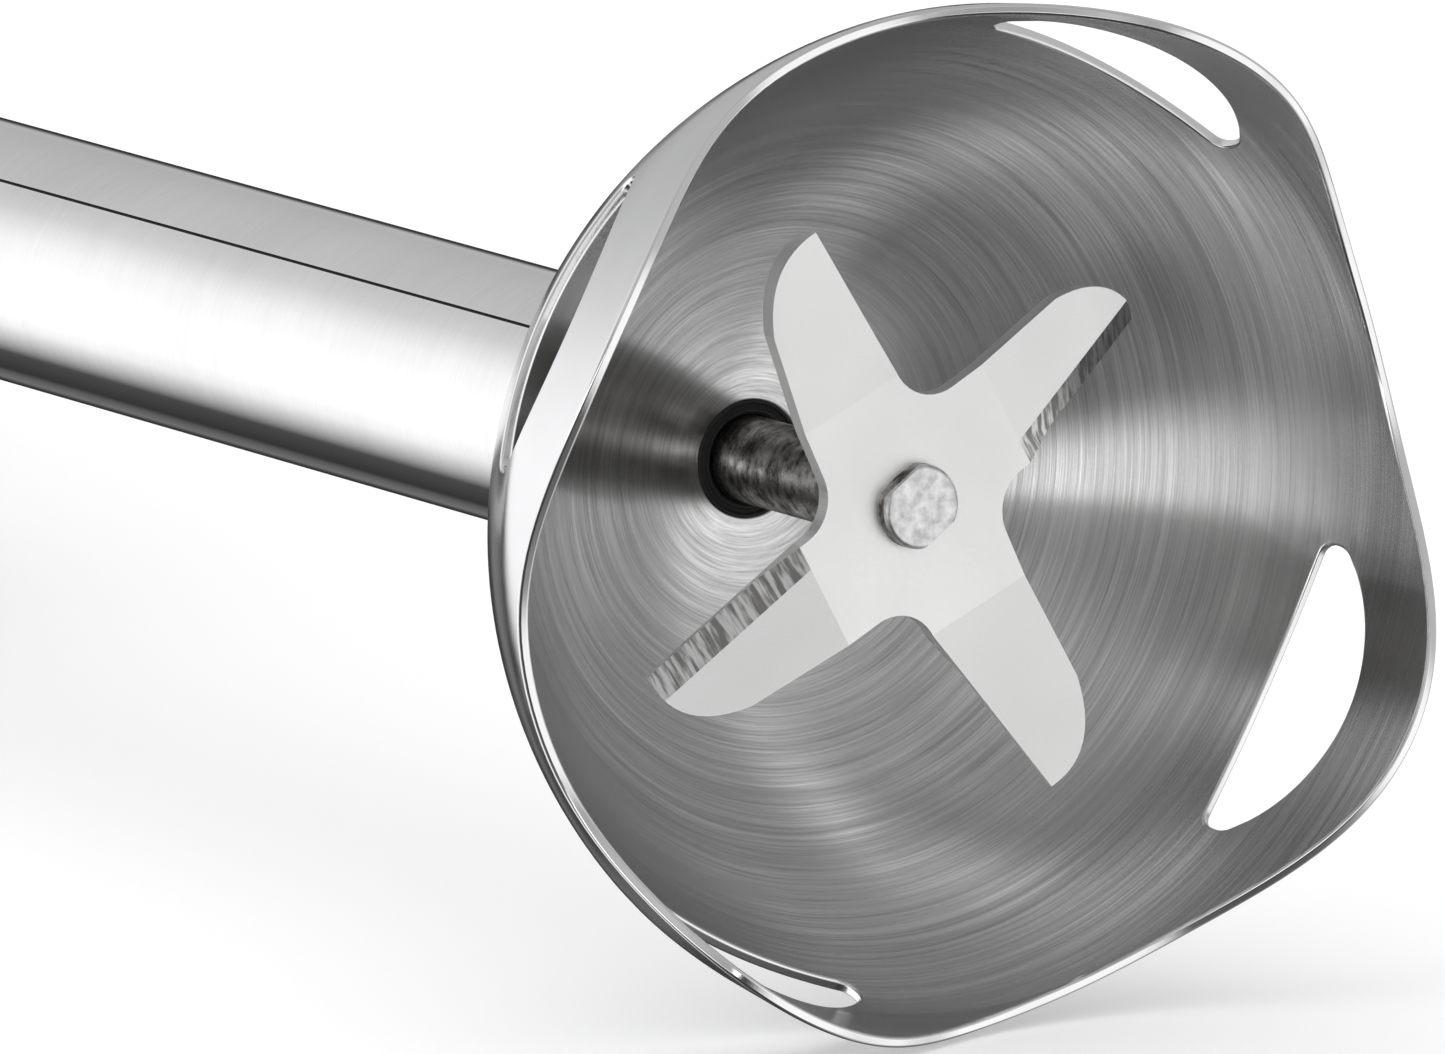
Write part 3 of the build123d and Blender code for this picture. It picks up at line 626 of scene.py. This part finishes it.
# ---- tube, seal and shaft -------------------------------------------------------------------------------
def make_tube():
    """The leg's tube, with its lengthwise seam pressed in; the groove's faces are painted near black as
    painted shade.
    """
    bm = bmesh.new()
    half = seam_width / 2 / tube_radius
    sides = 144
    turns = [seam_turn + half + (2 * pi - 2 * half) * i / sides for i in range(sides + 1)]
    turns += [seam_turn + half * 0.7, seam_turn - half * 0.7]
    turns = sorted(set(round((t - seam_turn) % (2 * pi), 9) for t in turns))
    heights = [tube_bottom, tube_bottom + 1.2, seam_start - 0.3, seam_start]
    heights += [seam_start + 8.0 * i for i in range(1, 20)] + [tube_top]
    outside = []
    for s in heights:
        ring = []
        for t in turns:
            near_seam = min(t, 2 * pi - t) < half * 0.8
            r = tube_radius - (seam_depth if near_seam and s >= seam_start else 0.0)
            ring.append(bm.verts.new((r * cos(t + seam_turn), r * sin(t + seam_turn), s)))
        outside.append(ring)
    inside = []
    for s in (heights[0], heights[-1]):
        r = tube_radius - tube_wall
        inside.append([bm.verts.new((r * cos(t + seam_turn), r * sin(t + seam_turn), s)) for t in turns])
    rings = outside + [inside[1], inside[0]]
    count = len(turns)
    for low, high in zip(rings, rings[1:] + rings[:1]):
        for i in range(count):
            j = (i + 1) % count
            face = bm.faces.new((low[i], low[j], high[j], high[i]))
            middle = face.calc_center_median()
            turn = atan2(middle.y, middle.x) - seam_turn
            off = abs((turn + pi) % (2 * pi) - pi)
            in_groove = off < half and middle.z > seam_start - 0.1 and low in outside[3:-1]
            # faces inside the seam groove take the near-black painted shade
            face.material_index = 1 if in_groove else 0
    return finish_mesh("tube", bm, (brushed_tube, seam_painted_shade), "leg", ["leg_tube"], sharp=20)


def make_seal():
    """A lip seal with two grooves round its face, and a flange behind the bell."""
    bm = bmesh.new()
    bore, face = shaft_radius + 0.05, seal_face
    outline = fillet_path([(bore, face + 0.25, 0), (bore + 0.22, face, 0.08), (bore + 0.34, face, 0.05),
                           (bore + 0.42, face + 0.30, 0.06), (bore + 0.55, face + 0.05, 0.06),
                           (bore + 0.70, face + 0.32, 0.06), (bore + 0.84, face + 0.02, 0.06),
                           (seal_radius, face + 0.1, 0.05), (seal_radius, flange_low, 0),
                           (flange_radius, flange_low, 0.1), (flange_radius, flange_high, 0.1),
                           (bore, flange_high, 0)], 4)
    lathe(bm, [(p.x, p.y) for p in outline], 128)
    return finish_mesh("seal", bm, (finishes["seal_rubber"],), "leg", ["shaft_seal"])


def make_shaft():
    """The drive shaft. Its lower end has two flats and a rounded, faced tip."""
    bm = bmesh.new()
    flat_radius = shaft_radius - flat_ease
    knife_back = knife_face + knife_thick
    corners = [(0.35, shaft_end, 0), (flat_radius, shaft_end, 0.35), (flat_radius, knife_back, 0),
               (shaft_radius, knife_back, 0.08)]
    for s in clip_grooves:
        low, high = s - clip_half, s + clip_half
        corners += [(shaft_radius, low, 0), (clip_radius, low, 0)]
        corners += [(clip_radius, high, 0), (shaft_radius, high, 0)]
    corners += [(shaft_radius, shaft_top, 0.3), (0.4, shaft_top, 0)]

    def with_flats(r, s, angle):
        if s >= knife_back - 1e-6:
            return r
        reach = abs(cos(angle - flat_turn))
        return min(r, flat_half / reach) if reach > 1e-6 else r

    outline = [(p.x, p.y) for p in fillet_path(corners, 5)]
    for face in lathe(bm, outline, 192, closed=False, radius_at=with_flats):
        if face.calc_center_median().z < shaft_end + 0.36:
            face.material_index = 1
    return finish_mesh("shaft", bm, (finishes["shaft_steel"], end_steel()), "spindle",
                       ["drive_shaft"])


# ---- knife ----------------------------------------------------------------------------------------------
def wing_edge():
    """The rounded corner of a wing, flat and pointing along +X, from its trailing edge to its tip."""
    corner = []
    start, tip = Vector((wing_corner_start, wing_trail)), Vector((wing_reach, 0))
    control = Vector(wing_corner_middle) * 2 - (start + tip) / 2
    steps = 12
    for k in range(steps + 1):
        t = k / steps
        corner.append(start * (1 - t) ** 2 + control * 2 * t * (1 - t) + tip * t ** 2)
    return corner


def knife_outline():
    """The flat blank: four wings joined by fillets, as points with the turn of the wing they belong to."""
    points = []
    wings = [radians(t) for t, side in wing_turns]
    lead_slope = wing_lead / (wing_reach - wing_bend_at)
    for k, turn in enumerate(wings):
        after = wings[(k + 1) % lobe_count] + (2 * pi if k == lobe_count - 1 else 0)

        def placed(p, angle):
            return Vector((p[0] * cos(angle) - p[1] * sin(angle), p[0] * sin(angle) + p[1] * cos(angle)))

        for p in wing_edge():
            points.append(placed(p, turn))
        for share in (0.25, 0.5, 0.75):
            x = wing_reach - (wing_reach - wing_bend_at) * share
            points.append(placed((x, (wing_reach - x) * lead_slope), turn))
        points.append(placed((wing_bend_at, wing_lead), turn))
        # the root between this wing's cutting edge and the next wing's trailing edge
        a = placed((0, wing_lead), turn)
        along_a = placed((1, 0), turn)
        b = placed((0, wing_trail), after)
        along_b = placed((1, 0), after)
        cross = along_a.x * along_b.y - along_a.y * along_b.x
        t = ((b - a).x * along_b.y - (b - a).y * along_b.x) / cross
        corner = a + along_a * t
        ends = (points[-1], placed((wing_bend_at, wing_trail), after))
        path = fillet_path([(*ends[0], 0), (*corner, root_fillet), (*ends[1], 0)], 10)
        points += path[1:]
    return points


def wing_frame(turn):
    """Directions out along a wing, across it and in from its cutting edge, and the place of its tip."""
    a = radians(turn)
    outwards = Vector((cos(a), sin(a), 0))
    sideways = Vector((-sin(a), cos(a), 0))
    slope = atan2(wing_lead, wing_reach - wing_bend_at)
    inward = (-sideways * cos(slope) - outwards * sin(slope)).normalized()
    return outwards, sideways, inward, outwards * wing_reach


def with_corners(faces):
    """Faces with their edges and corners, as a cut needs them."""
    edges = {edge for face in faces for edge in face.edges}
    verts = {vert for face in faces for vert in face.verts}
    return faces + list(edges) + list(verts)


def cut_wing(bm, turn):
    """Cuts the blank along a wing's bend and along the inner line of its ground edge."""
    outwards, sideways, inward, tip = wing_frame(turn)
    wing = [f for f in bm.faces if f.calc_center_median().dot(outwards) > wing_bend_at * 0.8
            and abs(f.calc_center_median().dot(sideways)) < wing_half_width]
    bmesh.ops.bisect_plane(bm, geom=with_corners(wing), plane_co=outwards * wing_bend_at, plane_no=outwards,
                           dist=1e-5)
    wing = [f for f in bm.faces if f.calc_center_median().dot(outwards) > wing_bend_at]
    bmesh.ops.bisect_plane(bm, geom=with_corners(wing), plane_co=tip + inward * bevel_width, plane_no=inward,
                           dist=1e-5)


def grind_wing(bm, turn, side, upper, along):
    """Grinds a wing's cutting edge, on its upper face if side is 1, and maps the grinding marks."""
    outwards, sideways, inward, tip = wing_frame(turn)
    ground = set()
    for v in bm.verts:
        run = v.co.dot(outwards) - wing_bend_at
        depth = (Vector((v.co.x, v.co.y, 0)) - tip).dot(inward)
        near = run > 0.05 and abs(v.co.dot(sideways)) < wing_half_width and depth < bevel_width - 1e-3
        if near and (v in upper) == (side > 0):
            v.co.z -= side * bevel_depth * (1 - max(depth, 0) / bevel_width) * min(1.0, run / bevel_run_out)
            ground.add(v)
    for f in bm.faces:
        middle = f.calc_center_median()
        if middle.dot(outwards) < wing_bend_at or abs(middle.dot(sideways)) > wing_half_width:
            continue
        one_face = all((v in upper) == (side > 0) for v in f.verts)
        if one_face and any(v in ground for v in f.verts) and (middle - tip).dot(inward) < bevel_width:
            f.material_index = 1
        for loop in f.loops:
            offset = loop.vert.co - tip
            loop[along].uv = (offset.dot(outwards), offset.dot(inward))


def bend_wing(bm, turn, side):
    """Tips a wing about its bend, towards the opening if side is 1."""
    outwards, sideways, inward, tip = wing_frame(turn)
    pivot = outwards * wing_bend_at + Vector((0, 0, knife_thick / 2))
    bend = Matrix.Rotation(wing_bend * side, 4, sideways)
    for v in bm.verts:
        if v.co.dot(outwards) > wing_bend_at - 1e-3 and abs(v.co.dot(sideways)) < wing_half_width:
            v.co = pivot + bend @ (v.co - pivot)


def make_knife():
    """The four-winged knife: a flat blank with thickness, its wings ground and then bent."""
    bm = bmesh.new()
    along = bm.loops.layers.uv.new("along")
    blank = bm.faces.new([bm.verts.new((p.x, p.y, 0)) for p in knife_outline()])
    bmesh.ops.triangulate(bm, faces=[blank])
    for turn, side in wing_turns:
        cut_wing(bm, turn)
    low = list(bm.faces)
    copy = bmesh.ops.duplicate(bm, geom=list(bm.verts) + list(bm.edges) + low)
    upper = {g for g in copy["geom"] if isinstance(g, bmesh.types.BMVert)}
    bmesh.ops.reverse_faces(bm, faces=low)
    for v in upper:
        v.co.z = knife_thick
    bmesh.ops.bridge_loops(bm, edges=[e for e in bm.edges if len(e.link_faces) == 1])
    for turn, side in wing_turns:
        grind_wing(bm, turn, side, upper, along)
        bend_wing(bm, turn, side)
    for v in bm.verts:
        v.co.z += knife_face
    piece = finish_mesh("blade", bm, (finishes["knife_steel"], ground_steel()), "spindle",
                        ["knife"], sharp=8)
    return round_edges(piece, 0.07, 2, 40)


def make_spring(button):
    """The spring under a button, a wire coil drawn at one length; the real spring shortens as the button is
    pressed.
    """
    low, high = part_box(button + "_spring")
    middle = (low + high) / 2
    wire = spring_wire / 2 * MM
    radius = (high.x - low.x) / 2 - wire
    steps, sides = 160, 10
    bm = bmesh.new()
    rings = []
    for i in range(steps + 1):
        turn = 2 * pi * spring_turns * i / steps
        outwards = Vector((cos(turn), sin(turn), 0))
        height = low.z + wire + (high.z - low.z - 2 * wire) * i / steps
        centre = Vector((middle.x, middle.y, height)) + outwards * radius
        ring = []
        for k in range(sides):
            angle = 2 * pi * k / sides
            around = outwards * wire * cos(angle) + Vector((0, 0, wire * sin(angle)))
            ring.append(bm.verts.new(centre + around))
        rings.append(ring)
    for first, second in zip(rings, rings[1:]):
        for k in range(sides):
            bm.faces.new((first[k], first[(k + 1) % sides], second[(k + 1) % sides], second[k]))
    bm.faces.new(rings[0])
    bm.faces.new(list(reversed(rings[-1])))
    bm.transform(to_row.inverted())
    piece = finish_mesh(button + "_coil", bm, (finishes["spring_steel"],), "motor_unit",
                        [button + "_spring"], sharp=50)
    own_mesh(piece)


make_bell()
make_tube()
make_seal()
make_shaft()
make_knife()
make_spring("power")
make_spring("turbo")


# ---- floor, light and camera ----------------------------------------------------------------------------
def make_floor():
    bm = bmesh.new()
    bmesh.ops.create_grid(bm, x_segments=1, y_segments=1, size=6.0)
    mesh = bpy.data.meshes.new("floor")
    bm.to_mesh(mesh)
    bm.free()
    floor = bpy.data.objects.new("floor", mesh)
    bpy.context.scene.collection.objects.link(floor)
    floor.location.z = cad_low.z - 0.0002
    material = bpy.data.materials.new("pale_floor")
    nodes = Nodes(material)
    values = {"Base Color": grey(0.80), "Roughness": 0.9, "Specular IOR Level": 0,
              "Emission Color": grey(1.0), "Emission Strength": 0.28}
    shader = nodes.add("ShaderNodeBsdfPrincipled", values)
    nodes.add("ShaderNodeOutputMaterial", {"Surface": shader.outputs[0]})
    mesh.materials.append(material)
    floor.visible_glossy = False


# brightness of the studio as the steel sees it, by the angle round the shaft: 0 right, 90 up, 180 left
studio_behind = ((0, 0.52), (25, 0.50), (60, 0.58), (97, 0.64), (121, 0.78), (134, 0.95), (150, 1.15),
                 (180, 1.30), (216, 1.28), (230, 1.10), (242, 0.72), (253, 0.38), (262, 0.08), (288, 0.04),
                 (296, 0.12), (315, 0.20), (340, 0.28), (360, 0.52))
studio_ahead = ((0, 0.55), (40, 0.55), (90, 0.45), (130, 0.62), (160, 0.40), (176, 0.50), (186, 1.90),
                (194, 1.90), (206, 0.22), (225, 0.06), (262, 0.05), (285, 0.14), (320, 0.70), (340, 1.2),
                (360, 0.60))
front_light = Vector((0.51, -0.84, -0.17))
dark_behind = Vector((0.51, 0.84, -0.17))
brightest = 2.0


def angle_ramp(nodes, position, stops):
    ramp = nodes.add("ShaderNodeValToRGB", {"Fac": position})
    elements = ramp.color_ramp.elements
    turned = sorted((((angle + 180) % 360) / 360, value) for angle, value in stops if angle < 360)
    seam = [value for angle, value in stops if angle == 180][:1] or [turned[0][1]]
    turned = [t for t in turned if t[0] > 0] + [(1.0, seam[0])]
    elements[0].position, elements[0].color = 0.0, grey(seam[0] / brightest)
    elements[1].position, elements[1].color = 1.0, grey(seam[0] / brightest)
    for place, value in turned[:-1]:
        element = elements.new(place)
        element.color = grey(value / brightest)
    return ramp.outputs[0]


def make_world():
    world = bpy.data.worlds.new("studio")
    bpy.context.scene.world = world
    world.cycles.sampling_method = "NONE"
    nodes = Nodes(world)
    direction = nodes.add("ShaderNodeTexCoord").outputs["Generated"]
    parts = nodes.add("ShaderNodeSeparateXYZ", {0: direction}).outputs
    angle = nodes.math("ARCTAN2", parts[2], parts[0])
    place = nodes.math("ADD", nodes.math("DIVIDE", angle, 2 * pi), 0.5)
    behind = angle_ramp(nodes, place, studio_behind)
    ahead = angle_ramp(nodes, place, studio_ahead)
    studio = nodes.mix(nodes.span(parts[1], -0.12, 0.12, 0.0, 1.0, smooth=True), ahead, behind)
    facing = nodes.vector_math("DOT_PRODUCT", direction, tuple(front_light.normalized()))
    in_front = nodes.span(facing, 0.82, 0.96, 0.0, 1.0, smooth=True)
    studio = nodes.mix(in_front, studio, grey(1.15 / brightest))
    facing_away = nodes.vector_math("DOT_PRODUCT", direction, tuple(dark_behind.normalized()))
    straight_behind = nodes.span(facing_away, 0.955, 0.985, 0.0, 1.0, smooth=True)
    studio = nodes.mix(straight_behind, studio, grey(0.02))
    ray = nodes.add("ShaderNodeLightPath").outputs
    reflected = nodes.add("ShaderNodeBackground", {"Color": studio, "Strength": brightest})
    plain = nodes.add("ShaderNodeBackground", {"Color": grey(1.0), "Strength": 1.05})
    # the light that falls on plastic and floor: more from above, more from the left
    fall = nodes.math("ADD", nodes.math("MULTIPLY", parts[2], 0.7), nodes.math("MULTIPLY", parts[0], -0.3))
    strength = nodes.math("ADD", fall, 0.55)
    soft = nodes.add("ShaderNodeBackground", {"Color": grey(1.0), "Strength": strength})
    lit = nodes.add("ShaderNodeMixShader", {0: ray["Is Camera Ray"], 1: soft.outputs[0], 2: plain.outputs[0]})
    seen = {0: ray["Is Glossy Ray"], 1: lit.outputs[0], 2: reflected.outputs[0]}
    both = nodes.add("ShaderNodeMixShader", seen)
    nodes.add("ShaderNodeOutputWorld", {"Surface": both.outputs[0]})


def make_camera():
    """Looks into the bell from the front left, a little from above, through a long lens."""
    azimuth, elevation = radians(-31.3), radians(9.98)
    back = Vector((sin(azimuth) * cos(elevation), -cos(azimuth) * cos(elevation), sin(elevation)))
    right = Vector((cos(azimuth), sin(azimuth), 0))
    up = back.cross(right)
    distance, frame_width = 2.0, 0.09737
    aim_left, aim_low = 0.01774, 0.000135
    target = to_row @ Vector((0, 0, rim_mean)) - right * aim_left - up * aim_low
    data = bpy.data.cameras.new("camera")
    data.sensor_width = 36.0
    data.lens = data.sensor_width * distance / frame_width
    data.clip_start, data.clip_end = 0.05, 60.0
    camera = bpy.data.objects.new("camera", data)
    turned = Matrix((right, up, back)).transposed().to_4x4()
    camera.matrix_world = Matrix.Translation(target + back * distance) @ turned
    bpy.context.scene.collection.objects.link(camera)
    bpy.context.scene.camera = camera


make_floor()
make_world()
make_camera()
bpy.context.scene.view_settings.view_transform = "Standard"
